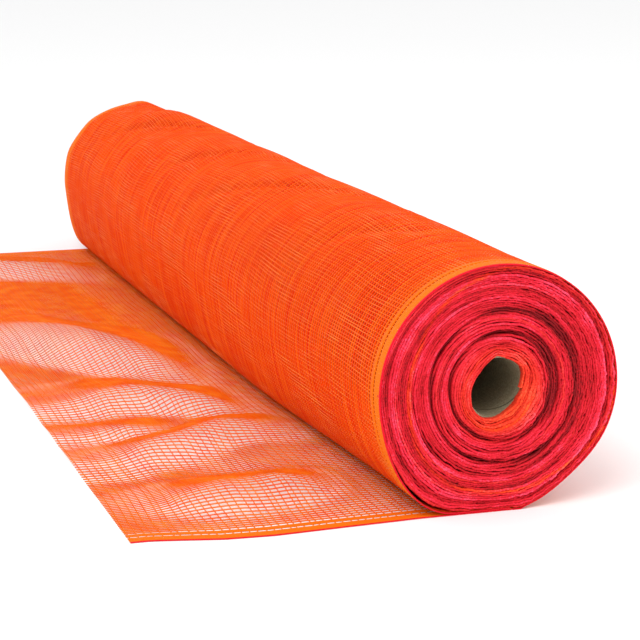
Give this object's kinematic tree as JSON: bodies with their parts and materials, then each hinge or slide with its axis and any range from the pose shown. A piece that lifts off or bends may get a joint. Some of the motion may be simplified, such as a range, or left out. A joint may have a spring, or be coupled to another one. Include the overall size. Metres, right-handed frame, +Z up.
{
  "type": "roll of debris netting",
  "caption": "Roll of orange knitted debris netting on a paper tube, lying on its side with its free end paid out flat beside it.",
  "frame": {"origin": "on the floor, under the roll's axis, at the middle of the net's width", "axes": "+Y along the roll, away from the end that the picture shows; -X towards the free end of the net; +Z up"},
  "size_m": [0.3085, 1, 0.1554],
  "materials": {
    "knitted_net": "satin",
    "tube_board": "matte"
  },
  "bodies": {
    "root": {"debris_net": "knitted_net", "paper_tube": "tube_board"}
  },
  "joints": []
}
